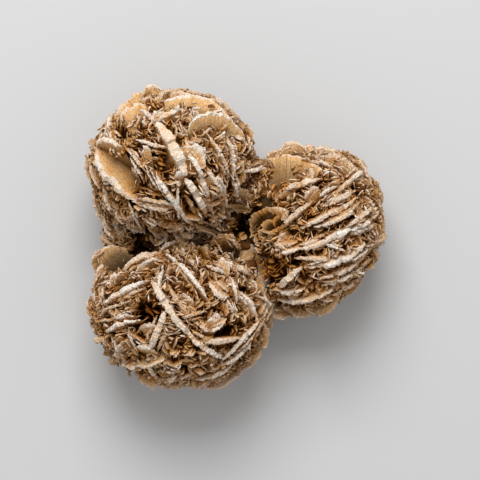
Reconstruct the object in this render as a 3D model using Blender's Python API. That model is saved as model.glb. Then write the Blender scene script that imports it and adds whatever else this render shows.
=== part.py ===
"""A gypsum sand rose: three rosettes of bladed crystals that grew together in one piece.

Metres, +Z up. The rose lies on the flats worn under its three rosettes, and the origin is on
that surface, below the middle of the rose. Crystals are laid out on a plan grid, seen from
above: u runs right along +X, and v runs down along -Y.
"""

import math
import random
from collections import namedtuple

import bmesh
import bpy
from mathutils import Matrix, Vector

# Driving dimensions, in metres
PLAN_STEP = 0.00025  # one step of the plan grid
PLAN_MIDDLE = (235.3, 236.4)  # the plan place of the origin
MM = 0.001

CORE_SHARE = 0.90  # the packed middle of a rosette, as a share of its radii
CORE_ROUGHNESS = 0.055  # how far the core's lumps stand out or in, as a share of its radius
CORE_FINENESS = 3  # how many times a rosette's core is divided into smaller facets
MASS_FINENESS = 2  # the same for the small round masses between the rosettes
MASS_CHIPS = 11  # places for chips around each of those masses

LEDGE_REACH = 6.0 * MM  # how deep a ledge runs below the chord of its rim
LEDGE_SINK = 0.4 * MM  # how far the ends of a rim dip below the rosette's surface
LEDGE_FOOT = 0.64  # the length of a ledge's foot, as a share of its rim's
RIM_FACET = 4.5 * MM  # the length of a straight facet along a ledge's rim
RIM_FACETS = (2, 4)  # the fewest and the most facets that a rim has
RIM_FULLNESS = 0.8  # under 1 makes the arc of a rim fuller towards its ends
RIM_WOBBLE = 0.10  # how far a rim strays from its arc, as a share of its height
SAME_POINT = 0.002 * MM  # points of the joined crystals nearer than this are one point
SURFACE_SIZE = (0.2, 0.2, 0.02)  # the block that wears the underside level
CORE_SEED = 41
LEDGE_SEED = 7

# Chips are the shorter ledges that fill a rosette's flanks, its underside and what is bare on top.
CHIP_SPAN = (6.0 * MM, 12.0 * MM)
CHIP_EDGE = (0.9 * MM, 1.5 * MM)
CHIP_PROUD = (0.5 * MM, 1.3 * MM)
CHIP_ROOM = 3.4 * MM  # no chip is placed nearer than this to the rim of a ledge laid by hand
CHIP_SWAY = 0.5  # how far a chip strays from the grain of its rosette
STACKING = 0.7  # 1 where chips lie parallel across the grain, 0 where they all point outward

SAND_COLOUR = (0.52, 0.37, 0.23, 1.0)
SAND_ROUGHNESS = 0.75

# A rosette: its middle on the plan, its height above the surface, its three radii, the turn of
# its first two radii on the plan in degrees, the direction that its chips face, how many places
# there are for chips all around it, and the fineness of its core.
Rosette = namedtuple("Rosette", "u v height radii turn grain chips fineness", defaults=[CORE_FINENESS])


def round_mass(u, v, height, radius, grain):
    """One of the small round masses where the rosettes grew into each other."""
    return Rosette(u, v, height, (radius, radius, radius), 0.0, grain, MASS_CHIPS, MASS_FINENESS)


UPPER = Rosette(172.5, 164.5, 21.4 * MM, (21.3 * MM, 18.4 * MM, 22.6 * MM), 10.0, (0.6, 0.7, 0.4), 62)
LOWER = Rosette(180.5, 313.5, 19.9 * MM, (22.9 * MM, 18.4 * MM, 21.0 * MM), -2.0, (0.3, -0.9, 0.3), 62)
RIGHT = Rosette(313.5, 230.0, 17.8 * MM, (17.0 * MM, 21.7 * MM, 19.0 * MM), -20.0, (0.4, -0.8, 0.5), 56)
MASSES = (
    round_mass(168, 240, 18.0 * MM, 8.0 * MM, (0.9, 0.3, 0.1)),
    round_mass(127, 237, 14.0 * MM, 6.5 * MM, (0.2, 0.9, 0.3)),
    round_mass(256, 190, 18.0 * MM, 8.5 * MM, (0.1, 0.5, 0.8)),
    round_mass(254, 284, 17.0 * MM, 8.5 * MM, (0.7, -0.6, 0.2)),
    round_mass(226, 234, 15.0 * MM, 9.5 * MM, (0.5, 0.5, -0.7)),
)

# The hollows between the ledges: place on the plan, radius in plan steps, depth in millimetres.
HOLLOWS = (
    ((124, 178), 26, 3.5),
    ((166, 160), 20, 3.5),
    ((190, 202), 17, 4.0),
    ((118, 256), 24, 3.5),
    ((146, 316), 18, 4.0),
    ((228, 336), 16, 4.0),
    ((264, 222), 26, 5.0),
    ((270, 272), 20, 4.0),
    ((284, 176), 22, 3.0),
    ((302, 258), 16, 3.5),
)

# Each ledge crystal: the start, the crest and the end of its rim on the plan, the width of its
# edge and how far its crest stands out of the rosette, both in millimetres.
UPPER_LEDGES = (
    # the great ridge across the middle, and the fan beside it
    ((157, 124), (174, 147), (188, 177), 2.0, 1.4),
    ((187, 181), (199, 199), (209, 222), 1.6, 1.0),
    ((189, 153), (203, 180), (216, 216), 1.2, 0.8),
    ((207, 170), (219, 187), (228, 210), 0.9, 0.7),
    ((203, 131), (219, 155), (230, 178), 0.9, 0.8),
    ((228, 137), (232, 155), (235, 178), 1.0, 0.8),
    ((233, 178), (236, 190), (240, 205), 0.9, 0.6),
    # the shelves along the top
    ((190, 127), (217, 117), (249, 141), 1.3, 1.0),
    ((165, 102), (200, 99), (230, 118), 0.8, 0.8),
    ((142, 99), (188, 95), (233, 120), 0.8, 0.5),
    ((172, 91), (208, 94), (240, 118), 0.8, 0.2),
    ((159, 122), (173, 115), (189, 108), 1.2, 1.0),
    ((141, 112), (147, 118), (156, 122), 1.0, 1.0),
    ((152, 121), (158, 114), (168, 112), 0.8, 0.8),
    # the broad plates of the north-west corner
    ((139, 91), (126, 99), (115, 113), 0.8, 0.3),
    ((117, 108), (110, 121), (105, 136), 0.8, 0.3),
    ((141, 93), (152, 86), (165, 92), 0.8, 0.5),
    ((120, 118), (131, 108), (146, 104), 0.8, 0.6),
    # the west disc and the rims that run round it
    ((96, 147), (107, 175), (136, 203), 1.3, 1.0),
    ((95, 143), (108, 141), (122, 148), 1.0, 0.8),
    ((134, 203), (155, 209), (177, 211), 0.9, 0.6),
    ((138, 201), (157, 199), (178, 208), 0.8, 0.6),
    ((87, 158), (87, 172), (92, 187), 0.9, 0.2),
    ((91, 190), (94, 206), (99, 222), 0.8, 0.1),
    ((104, 190), (110, 207), (121, 223), 0.8, 0.5),
    ((112, 205), (124, 224), (146, 235), 0.8, 0.5),
    # the southern ridges
    ((158, 175), (173, 200), (196, 228), 1.2, 1.0),
    ((179, 190), (180, 206), (180, 222), 0.7, 0.6),
    ((143, 220), (158, 226), (173, 229), 0.7, 0.5),
    ((195, 226), (209, 229), (225, 237), 1.0, 0.6),
    ((148, 230), (157, 237), (164, 246), 0.8, 0.5),
    ((228, 208), (241, 207), (256, 206), 0.9, 0.5),
    ((240, 175), (252, 170), (266, 165), 0.9, 0.8),
    ((128, 150), (137, 162), (148, 176), 0.8, 0.6),
    # low down, along the outline
    ((100, 215), (105, 229), (112, 240), 0.8, 0.1),
    ((239, 115), (250, 129), (255, 148), 0.9, 0.1),
)
LOWER_LEDGES = (
    # the great ridge and the two arms it meets
    ((153, 279), (170, 307), (196, 341), 1.7, 1.3),
    ((192, 338), (208, 347), (225, 358), 1.3, 0.8),
    ((223, 360), (240, 340), (262, 317), 1.1, 0.8),
    ((165, 251), (188, 272), (208, 299), 1.0, 1.0),
    ((164, 263), (163, 277), (162, 292), 1.0, 0.8),
    # the flakes of the north-east
    ((207, 263), (216, 270), (228, 274), 1.0, 1.0),
    ((216, 268), (223, 257), (230, 272), 1.2, 1.6),
    ((209, 281), (216, 296), (229, 298), 1.2, 1.0),
    ((229, 272), (233, 286), (238, 302), 0.9, 0.8),
    ((240, 290), (250, 303), (256, 318), 0.9, 0.8),
    # the eastern rims
    ((257, 268), (268, 295), (259, 326), 1.0, 0.8),
    ((262, 250), (274, 285), (270, 330), 0.9, 0.2),
    ((222, 243), (240, 241), (252, 258), 0.8, 0.3),
    ((243, 242), (262, 249), (272, 268), 0.8, 0.2),
    # the north-west disc and the ridges below it
    ((160, 252), (170, 245), (184, 240), 0.8, 0.5),
    ((124, 246), (104, 247), (96, 262), 0.9, 0.1),
    ((104, 261), (95, 276), (91, 295), 1.2, 0.6),
    ((131, 273), (146, 264), (163, 256), 0.8, 0.8),
    ((108, 285), (116, 274), (126, 268), 0.8, 0.6),
    ((104, 304), (125, 290), (150, 279), 1.2, 0.8),
    ((93, 318), (108, 309), (130, 300), 1.0, 0.5),
    ((95, 324), (112, 316), (136, 309), 0.9, 0.5),
    ((105, 331), (120, 323), (141, 318), 1.0, 0.8),
    # the thick spar, the south-west disc and the southern arcs
    ((167, 311), (160, 329), (151, 350), 1.6, 1.0),
    ((141, 328), (150, 322), (160, 326), 0.9, 0.8),
    ((137, 347), (146, 343), (157, 350), 1.0, 0.8),
    ((117, 364), (140, 366), (164, 358), 1.0, 0.8),
    ((125, 340), (117, 350), (116, 363), 0.8, 0.4),
    ((103, 336), (106, 346), (114, 356), 0.8, 0.2),
    ((163, 366), (195, 381), (238, 362), 1.0, 0.5),
    ((212, 372), (232, 359), (248, 346), 0.9, 0.5),
    ((165, 386), (195, 388), (228, 380), 0.8, 0.2),
    ((238, 374), (257, 362), (266, 343), 0.8, 0.2),
    ((146, 362), (155, 372), (160, 385), 0.8, 0.3),
    ((236, 362), (245, 350), (251, 340), 1.0, 0.5),
    ((228, 318), (220, 326), (211, 331), 0.8, 0.8),
    ((126, 313), (140, 308), (152, 310), 0.8, 0.5),
    # low down, along the outline
    ((133, 372), (149, 389), (172, 388), 0.9, 0.1),
    ((262, 320), (269, 334), (263, 350), 0.9, 0.1),
    ((198, 389), (224, 387), (246, 369), 0.9, 0.1),
    ((92, 322), (87, 306), (91, 288), 0.9, 0.1),
    ((92, 270), (91, 257), (102, 246), 0.9, 0.1),
)
RIGHT_LEDGES = (
    # the top shelf and the arcs behind it
    ((262, 163), (283, 156), (318, 164), 0.9, 0.8),
    ((300, 158), (319, 163), (339, 173), 0.8, 0.5),
    ((290, 151), (318, 145), (352, 156), 0.8, 0.2),
    ((300, 152), (327, 150), (358, 171), 0.8, 0.5),
    ((318, 158), (340, 157), (364, 180), 0.8, 0.5),
    ((273, 152), (291, 141), (306, 149), 0.9, 0.3),
    ((350, 153), (363, 166), (373, 186), 0.8, 0.2),
    # the stack of parallel blades
    ((318, 196), (327, 191), (338, 186), 0.8, 0.5),
    ((338, 187), (348, 181), (358, 175), 0.9, 0.6),
    ((322, 207), (339, 199), (354, 189), 1.3, 0.8),
    ((299, 229), (328, 217), (358, 197), 1.2, 1.0),
    ((313, 228), (340, 219), (364, 201), 0.9, 0.8),
    ((345, 228), (360, 216), (373, 207), 1.0, 0.8),
    ((349, 231), (365, 224), (381, 211), 0.9, 0.7),
    ((325, 239), (340, 233), (353, 226), 1.5, 0.8),
    ((299, 250), (315, 246), (333, 239), 1.3, 0.8),
    ((273, 249), (285, 252), (300, 248), 1.0, 0.8),
    ((322, 244), (333, 248), (345, 251), 0.7, 0.5),
    ((304, 269), (337, 262), (366, 243), 1.4, 1.0),
    ((368, 247), (379, 241), (387, 235), 1.0, 0.4),
    ((376, 192), (384, 214), (385, 237), 0.8, 0.1),
    # the lower stack
    ((318, 281), (344, 271), (369, 255), 0.9, 0.5),
    ((276, 301), (308, 300), (342, 284), 1.0, 0.8),
    ((330, 297), (350, 286), (368, 269), 0.9, 0.3),
    ((273, 290), (288, 292), (304, 291), 1.0, 0.8),
    ((277, 312), (302, 317), (334, 303), 0.9, 0.4),
    ((322, 287), (345, 277), (368, 263), 0.8, 0.4),
    # low down, along the outline
    ((366, 251), (384, 243), (386, 228), 0.9, 0.1),
    ((264, 300), (272, 317), (292, 319), 0.9, 0.1),
    ((318, 318), (334, 309), (341, 293), 0.9, 0.1),
    ((258, 166), (266, 155), (280, 147), 0.9, 0.1),
)


def at_plan(place, height):
    x = (place[0] - PLAN_MIDDLE[0]) * PLAN_STEP
    y = (PLAN_MIDDLE[1] - place[1]) * PLAN_STEP
    return Vector((x, y, height))


def middle_of(rosette):
    return at_plan((rosette.u, rosette.v), rosette.height)


def turned(rosette, vector, turns=1.0):
    """A vector along the rosette's own axes, as one along X and Y, or back with turns -1."""
    turned_by = Matrix.Rotation(math.radians(rosette.turn) * turns, 3, "Z")
    return turned_by @ Vector(vector)


def on_top(rosette, place, proud):
    """The point above a plan place, that far out of the rosette's upper surface."""
    middle = middle_of(rosette)
    x, y, _ = turned(rosette, at_plan(place, rosette.height) - middle, -1.0)
    rx, ry, rz = rosette.radii
    height = rz * math.sqrt(max(0.0, 1.0 - (x / rx) ** 2 - (y / ry) ** 2))
    outward = Vector((x / rx**2, y / ry**2, height / rz**2)).normalized()
    return middle + turned(rosette, Vector((x, y, height)) + proud * outward)


def on_skin(rosette, direction, proud):
    """The point that far out of the rosette's surface in a direction from its middle."""
    own = turned(rosette, direction.normalized(), -1.0)
    reach = 1.0 / Vector(own[i] / rosette.radii[i] for i in range(3)).length
    return middle_of(rosette) + direction.normalized() * (reach + proud)


def buried(rosettes, point):
    """Whether a point is inside one of the rosettes."""
    for rosette in rosettes:
        own = turned(rosette, point - middle_of(rosette), -1.0)
        if Vector(own[i] / rosette.radii[i] for i in range(3)).length < 1.0:
            return True
    return False


def golden_directions(count):
    """Directions spread evenly over a sphere, from its top to its bottom."""
    turn = math.pi * (3.0 - math.sqrt(5.0))
    for i in range(count):
        z = 1.0 - 2.0 * (i + 0.5) / count
        around = math.sqrt(1.0 - z * z)
        yield Vector((around * math.cos(i * turn), around * math.sin(i * turn), z))


def rim_of(start, crest, end, facets, chance):
    """Points along the arc through start, crest and end, each a little out of true."""
    chord = end - start
    half = chord.length / 2.0
    along = chord.normalized()
    up = crest - (start + end) / 2.0
    up -= up.dot(along) * along
    rise = up.length
    up.normalize()
    points = []
    for i in range(facets + 1):
        t = 2.0 * i / facets - 1.0
        lift = rise * max(0.0, math.cos(0.5 * math.pi * t)) ** RIM_FULLNESS
        wobble = 1.0 + chance.uniform(-RIM_WOBBLE, RIM_WOBBLE)
        points.append((start + end) / 2.0 + along * half * t + up * lift * wobble)
    return points, along, up


def ledge_object(start, crest, end, edge, chance):
    """One flat blade: a prism whose outline is its rim and a narrower foot inside the rosette."""
    mesh = bmesh.new()
    span = (end - start).length
    facets = min(max(round(span / RIM_FACET), RIM_FACETS[0]), RIM_FACETS[1])
    rim, along, up = rim_of(start, crest, end, facets, chance)
    foot_half = along * LEDGE_FOOT * span / 2.0
    foot_middle = (start + end) / 2.0 - up * LEDGE_REACH
    outline = rim + [foot_middle + foot_half, foot_middle - foot_half]
    across = along.cross(up).normalized() * edge / 2.0
    front = [mesh.verts.new(point + across) for point in outline]
    back = [mesh.verts.new(point - across) for point in outline]
    mesh.faces.new(front[::-1])
    mesh.faces.new(back)
    for i in range(len(outline)):
        j = (i + 1) % len(outline)
        mesh.faces.new((front[i], front[j], back[j], back[i]))
    return new_object("ledge", mesh)


def new_object(name, mesh):
    bmesh.ops.recalc_face_normals(mesh, faces=mesh.faces)
    data = bpy.data.meshes.new(name)
    mesh.to_mesh(data)
    mesh.free()
    made = bpy.data.objects.new(name, data)
    bpy.context.scene.collection.objects.link(made)
    return made


def rims_on(rosette, ledges):
    """The start, crest and end of each ledge laid by hand, and the width of its edge."""
    for start, crest, end, edge, proud in ledges:
        points = (
            on_top(rosette, start, -LEDGE_SINK),
            on_top(rosette, crest, proud * MM),
            on_top(rosette, end, -LEDGE_SINK),
        )
        yield points, edge * MM


def chips_on(rosette, rims, others, chance):
    """Short ledges where there is room between the rims laid by hand, stacked along the grain."""
    mean_radius = sum(rosette.radii) / 3.0
    for direction in golden_directions(rosette.chips):
        place = on_skin(rosette, direction, 0.0)
        sway = Vector(chance.uniform(-CHIP_SWAY, CHIP_SWAY) for _ in range(3))
        turn = chance.uniform(*CHIP_SPAN) / 2.0 / mean_radius
        proud = chance.uniform(*CHIP_PROUD)
        edge = chance.uniform(*CHIP_EDGE)
        crowded = any((place - point).length < CHIP_ROOM for rim, _ in rims for point in rim)
        if crowded or buried(others, place):
            continue
        grain = (Vector(rosette.grain) + sway).normalized()
        run = grain.cross(direction).normalized()
        start = on_skin(rosette, direction * math.cos(turn) - run * math.sin(turn), -LEDGE_SINK)
        end = on_skin(rosette, direction * math.cos(turn) + run * math.sin(turn), -LEDGE_SINK)
        middle = (start + end) / 2.0
        up = (direction - STACKING * direction.dot(grain) * grain).normalized()
        crest = middle + up * (on_skin(rosette, direction, proud) - middle).length
        yield (start, crest, end), edge


def hollow_at(point):
    """How deep the hollows go at a point on top of a core."""
    u = point.x / PLAN_STEP + PLAN_MIDDLE[0]
    v = PLAN_MIDDLE[1] - point.y / PLAN_STEP
    depth = 0.0
    for place, radius, deepest in HOLLOWS:
        away = math.dist(place, (u, v)) / radius
        depth = max(depth, deepest * MM * (1.0 - min(away, 1.0) ** 2))
    return depth


def core_object(rosette, chance):
    """The packed middle of a rosette: a ball of small lumps with flat facets."""
    mesh = bmesh.new()
    bmesh.ops.create_icosphere(mesh, subdivisions=rosette.fineness, radius=CORE_SHARE)
    for vert in mesh.verts:
        lump = 1.0 + chance.uniform(-CORE_ROUGHNESS, CORE_ROUGHNESS)
        own = Vector(vert.co[i] * rosette.radii[i] * lump for i in range(3))
        vert.co = middle_of(rosette) + turned(rosette, own)
        if own.z > 0.0:
            vert.co -= hollow_at(vert.co) * turned(rosette, own).normalized()
    return new_object("core", mesh)


def join_all(rose, others):
    """Joins the crystals to the first core in one solid."""
    pieces = bpy.data.collections.new("crystals")
    bpy.context.scene.collection.children.link(pieces)
    for other in others:
        bpy.context.scene.collection.objects.unlink(other)
        pieces.objects.link(other)
    union = rose.modifiers.new("grown together", "BOOLEAN")
    union.operation = "UNION"
    union.solver = "EXACT"
    union.operand_type = "COLLECTION"
    union.collection = pieces
    bpy.context.view_layer.objects.active = rose
    bpy.ops.object.modifier_apply(modifier=union.name)
    for other in others:
        bpy.data.objects.remove(other)
    bpy.data.collections.remove(pieces)


def fill_pockets(rose):
    """Fills the pockets that crystals closed off as they met, by deleting all but the outer skin."""
    mesh = bmesh.new()
    mesh.from_mesh(rose.data)
    bmesh.ops.remove_doubles(mesh, verts=mesh.verts, dist=SAME_POINT)
    shells = []
    left = set(mesh.verts)
    while left:
        shell = set()
        edge_of_shell = [left.pop()]
        while edge_of_shell:
            vert = edge_of_shell.pop()
            shell.add(vert)
            near = {edge.other_vert(vert) for edge in vert.link_edges} & left
            left -= near
            edge_of_shell += near
        shells.append(shell)
    shells.sort(key=len)
    for pocket in shells[:-1]:
        bmesh.ops.delete(mesh, geom=list(pocket), context="VERTS")
    mesh.to_mesh(rose.data)
    mesh.free()


def wear_flat(rose):
    """Cuts the underside level where the rose rests."""
    mesh = bmesh.new()
    bmesh.ops.create_cube(mesh, size=1.0)
    bmesh.ops.translate(mesh, verts=mesh.verts, vec=(0.0, 0.0, -0.5))
    bmesh.ops.scale(mesh, verts=mesh.verts, vec=SURFACE_SIZE)
    surface = new_object("surface", mesh)
    cut = rose.modifiers.new("worn flat", "BOOLEAN")
    cut.operation = "DIFFERENCE"
    cut.solver = "EXACT"
    cut.object = surface
    bpy.context.view_layer.objects.active = rose
    bpy.ops.object.modifier_apply(modifier=cut.name)
    bpy.data.objects.remove(surface)


def sand_material():
    made = bpy.data.materials.new("sandy gypsum")
    made.use_nodes = True
    shader = made.node_tree.nodes["Principled BSDF"]
    shader.inputs["Base Color"].default_value = SAND_COLOUR
    shader.inputs["Roughness"].default_value = SAND_ROUGHNESS
    shader.inputs["Metallic"].default_value = 0.0
    return made


def main():
    for old in list(bpy.data.objects):
        bpy.data.objects.remove(old)
    rosettes = [(UPPER, UPPER_LEDGES), (LOWER, LOWER_LEDGES), (RIGHT, RIGHT_LEDGES)]
    rosettes += [(mass, ()) for mass in MASSES]
    chance = random.Random(CORE_SEED)
    cores = [core_object(rosette, chance) for rosette, _ in rosettes]
    chance = random.Random(LEDGE_SEED)
    rims = []
    for rosette, ledges in rosettes:
        laid = list(rims_on(rosette, ledges))
        others = [other for other, _ in rosettes if other is not rosette]
        rims += laid + list(chips_on(rosette, laid, others, chance))
    pieces = [ledge_object(*rim, edge, chance) for rim, edge in rims]
    rose = cores[0]
    rose.name = "sand_rose"
    join_all(rose, cores[1:] + pieces)
    fill_pockets(rose)
    wear_flat(rose)
    rose.data.materials.append(sand_material())


main()
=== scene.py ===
"""The looks of the gypsum sand rose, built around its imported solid.

Metres, +Z up, with the solid's own origin. Crystals are laid out on the same plan grid as the
solid's: u runs right along +X, and v runs down along -Y. Every crystal is a blade with a pale
worn rim and a foot inside its rosette, and every blade is shaped from one of a few masters.
"""

import functools
import itertools
import math
import random
from collections import namedtuple

import bpy
import numpy as np
from mathutils import Matrix, Vector


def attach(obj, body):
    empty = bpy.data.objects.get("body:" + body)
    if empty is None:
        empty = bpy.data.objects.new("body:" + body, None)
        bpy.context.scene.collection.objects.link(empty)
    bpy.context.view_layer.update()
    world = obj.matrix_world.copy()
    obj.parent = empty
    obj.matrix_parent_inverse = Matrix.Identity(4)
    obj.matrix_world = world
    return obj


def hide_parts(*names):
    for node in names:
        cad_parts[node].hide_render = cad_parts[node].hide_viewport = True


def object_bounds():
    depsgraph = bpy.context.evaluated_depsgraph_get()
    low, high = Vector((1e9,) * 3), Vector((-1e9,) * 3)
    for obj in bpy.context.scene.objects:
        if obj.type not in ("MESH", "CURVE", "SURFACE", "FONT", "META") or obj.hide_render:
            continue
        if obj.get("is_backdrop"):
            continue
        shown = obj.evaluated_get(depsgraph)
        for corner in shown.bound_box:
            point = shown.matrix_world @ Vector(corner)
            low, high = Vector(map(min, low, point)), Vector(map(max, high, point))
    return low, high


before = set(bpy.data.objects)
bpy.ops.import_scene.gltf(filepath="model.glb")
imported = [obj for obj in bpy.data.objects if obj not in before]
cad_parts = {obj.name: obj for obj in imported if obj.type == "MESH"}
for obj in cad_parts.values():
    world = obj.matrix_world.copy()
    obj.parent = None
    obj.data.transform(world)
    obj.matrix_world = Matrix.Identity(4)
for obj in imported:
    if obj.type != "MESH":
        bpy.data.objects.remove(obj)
CAD_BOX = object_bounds()

# Driving dimensions, in metres
PLAN_STEP = 0.00025  # one step of the plan grid
PLAN_MIDDLE = (235.3, 236.4)  # the plan place of the origin
MM = 0.001

LEDGE_REACH = 6.0 * MM  # how deep a ledge runs below the chord of its rim
LEDGE_SINK = 0.4 * MM  # how far the ends of a rim dip below the rosette's surface
LEDGE_FOOT = 0.64  # the length of a ledge's foot, as a share of its rim's
FOOT_FULLNESS = 0.6  # under 1 keeps a blade nearly as long as its rim until close to its foot
MOST_REACH = 0.45  # the most that a ledge can reach, as a share of its rosette's mean radius
RIM_FULLNESS = 0.8  # under 1 makes the arc of a rim fuller towards its ends
KNEE = 0.45  # where a blade starts to lean, as a share of its reach
LEDGE_SEED = 7

CHIP_SPAN = (6.0 * MM, 12.0 * MM)
CHIP_EDGE = (0.9 * MM, 1.5 * MM)
CHIP_PROUD = (0.5 * MM, 1.3 * MM)
CHIP_ROOM = 3.4 * MM  # no chip is placed nearer than this to the rim of a listed ledge
CHIP_SWAY = 0.5  # how far a chip strays from the grain of its rosette
STACKING = 0.7  # 1 where blades lie parallel across the grain, 0 where they all point outward
RIM_MOST_WORN = 1.0  # the wear of a ledge's rim
SMALL_RIM_WORN = 0.7  # the wear of a small blade's rim
UPRIGHT_LIP = 0.35
LEANING_LIP = 0.65
SMALL_LIP = -0.3

# A rosette: its middle on the plan, its height above the surface, its three radii, the turn of
# its first two radii on the plan in degrees, the direction that its chips face, and how many
# places there are for chips all around it.
Rosette = namedtuple("Rosette", "name u v height radii turn grain chips")

# A listed ledge: the start, the crest and the end of its rim on the plan, the width of its
# edge and how far its crest stands out, both in millimetres, how far its foot leans away in plan
# steps, and its shade: its faces are as dark as if they lay that many millimetres further from
# its rim.
Ledge = namedtuple("Ledge", "start crest end edge proud lean shade", defaults=[(0.0, 0.0), 0.0])

# A blade to be shaped: three points of its rim, its edge, how deep it runs, the lean of its foot,
# how its whole body hangs, how worn its rim is from 0 to 1, its lip, which is 1 where its foot is
# far thinner than its rim and under 0 where its rim is the thinner, and its shade, as a ledge's.
Blade = namedtuple("Blade", "start crest end edge reach lean hang wear lip shade")


BETWEEN = "between"  # the name that the small round masses share
MASS_CHIPS = 11


def round_mass(u, v, height, radius, grain):
    """One of the small round masses where the rosettes grew into each other."""
    return Rosette(BETWEEN, u, v, height, (radius, radius, radius), 0.0, grain, MASS_CHIPS)


UPPER_RADII = (21.3 * MM, 18.4 * MM, 22.6 * MM)
LOWER_RADII = (22.9 * MM, 18.4 * MM, 21.0 * MM)
RIGHT_RADII = (17.0 * MM, 21.7 * MM, 19.0 * MM)
UPPER = Rosette("upper", 172.5, 164.5, 21.4 * MM, UPPER_RADII, 10.0, (0.6, 0.7, 0.4), 62)
LOWER = Rosette("lower", 180.5, 313.5, 19.9 * MM, LOWER_RADII, -2.0, (0.3, -0.9, 0.3), 62)
RIGHT = Rosette("right", 313.5, 230.0, 17.8 * MM, RIGHT_RADII, -20.0, (0.4, -0.8, 0.5), 56)
MASSES = (
    round_mass(168, 240, 18.0 * MM, 8.0 * MM, (0.9, 0.3, 0.1)),
    round_mass(127, 237, 14.0 * MM, 6.5 * MM, (0.2, 0.9, 0.3)),
    round_mass(256, 190, 18.0 * MM, 8.5 * MM, (0.1, 0.5, 0.8)),
    round_mass(254, 284, 17.0 * MM, 8.5 * MM, (0.7, -0.6, 0.2)),
    round_mass(226, 234, 15.0 * MM, 9.5 * MM, (0.5, 0.5, -0.7)),
)

# The hollows between the ledges: place on the plan, radius in plan steps, depth in millimetres.
HOLLOWS = (
    ((124, 178), 26, 3.5),
    ((166, 160), 20, 3.5),
    ((190, 202), 17, 4.0),
    ((118, 256), 24, 3.5),
    ((143, 241), 15, 7.0),
    ((242, 228), 12, 7.0),
    ((148, 316), 17, 6.5),
    ((228, 336), 16, 5.5),
    ((264, 222), 26, 5.0),
    ((270, 272), 20, 4.0),
    ((284, 176), 22, 1.5),
    ((302, 258), 16, 3.5),
)

# Where the faces of broad plates lie bare, with no small blades on them: place and radius in plan
# steps, for blades above the height.
BARE_ABOVE = 20.0 * MM
BARE = (
    ((122, 172), 20),
    ((108, 158), 11),
    ((128, 108), 16),
    ((160, 104), 6),
    ((205, 106), 6),
    ((118, 258), 15),
    ((282, 167), 12),
    ((242, 250), 11),
    ((228, 246), 12),
    ((237, 232), 10),
    ((256, 259), 10),
    ((119, 129), 12),
    ((148, 316), 9),
    ((143, 241), 9),
    ((262, 218), 13),
    ((140, 352), 11),
    ((304, 160), 8),
)


def laid(*rows):
    """Listed ledges, one for each row."""
    return [Ledge(*row) for row in rows]


UPPER_LEDGES = laid(
    # the great ridge across the middle, and the fan beside it
    ((157, 124), (174, 147), (188, 177), 2.5, 1.4, (-8, 6)),
    ((187, 181), (199, 199), (209, 222), 1.6, 1.0),
    ((189, 153), (203, 180), (216, 216), 1.2, 0.8),
    ((207, 170), (219, 187), (228, 210), 0.9, 0.7),
    ((203, 131), (219, 155), (230, 178), 0.9, 0.8),
    ((228, 137), (232, 155), (235, 178), 1.0, 0.8),
    ((233, 178), (236, 190), (240, 205), 0.9, 0.6),
    # the shelves along the top
    ((190, 127), (217, 117), (249, 141), 1.4, 1.0, (-4, 16), 3.2),
    ((165, 102), (200, 99), (230, 118), 0.8, 0.8, (0, 14), 1.0),
    ((142, 99), (188, 95), (233, 120), 0.8, 0.5, (0, 18), 0.8),
    ((172, 91), (208, 94), (240, 118), 0.8, 0.2),
    ((159, 122), (173, 115), (189, 108), 1.2, 1.0, (4, 14)),
    ((141, 112), (147, 118), (156, 122), 1.0, 1.0),
    ((152, 121), (158, 114), (168, 112), 0.8, 0.8),
    # the broad plates of the north-west corner
    ((139, 91), (126, 99), (115, 113), 0.8, 0.3, (22, 22)),
    ((117, 108), (110, 121), (105, 136), 0.8, 0.3, (26, 10)),
    ((141, 93), (152, 86), (165, 92), 0.8, 0.5),
    ((120, 118), (131, 108), (146, 104), 0.8, 0.6, (8, 16)),
    # the west disc and the rims that run round it
    ((96, 147), (107, 175), (136, 203), 1.7, 1.0, (30, -22), 1.0),
    ((95, 143), (108, 141), (122, 148), 1.4, 0.8, (4, 8), 0.5),
    ((134, 203), (155, 209), (177, 211), 0.9, 0.6),
    ((138, 201), (157, 199), (178, 208), 0.8, 0.6),
    ((87, 158), (87, 172), (92, 187), 0.9, 0.2),
    ((91, 190), (94, 206), (99, 222), 0.8, 0.1),
    ((104, 190), (110, 207), (121, 223), 0.8, 0.5),
    ((112, 205), (124, 224), (146, 235), 0.8, 0.5),
    # the southern ridges
    ((158, 175), (173, 200), (196, 228), 1.2, 1.0),
    ((179, 190), (180, 206), (180, 222), 0.7, 0.6),
    ((143, 220), (158, 226), (173, 229), 0.7, 0.5),
    ((195, 226), (209, 229), (225, 237), 1.0, 0.6),
    ((148, 230), (157, 237), (164, 246), 0.8, 0.5),
    ((228, 208), (241, 207), (256, 206), 0.9, 0.5),
    ((240, 175), (252, 170), (266, 165), 0.9, 0.8),
    ((128, 150), (137, 162), (148, 176), 0.8, 0.6),
    # low down, along the outline
    ((100, 215), (105, 229), (112, 240), 0.8, 0.1),
    ((239, 115), (250, 129), (255, 148), 0.9, 0.1),
)
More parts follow.
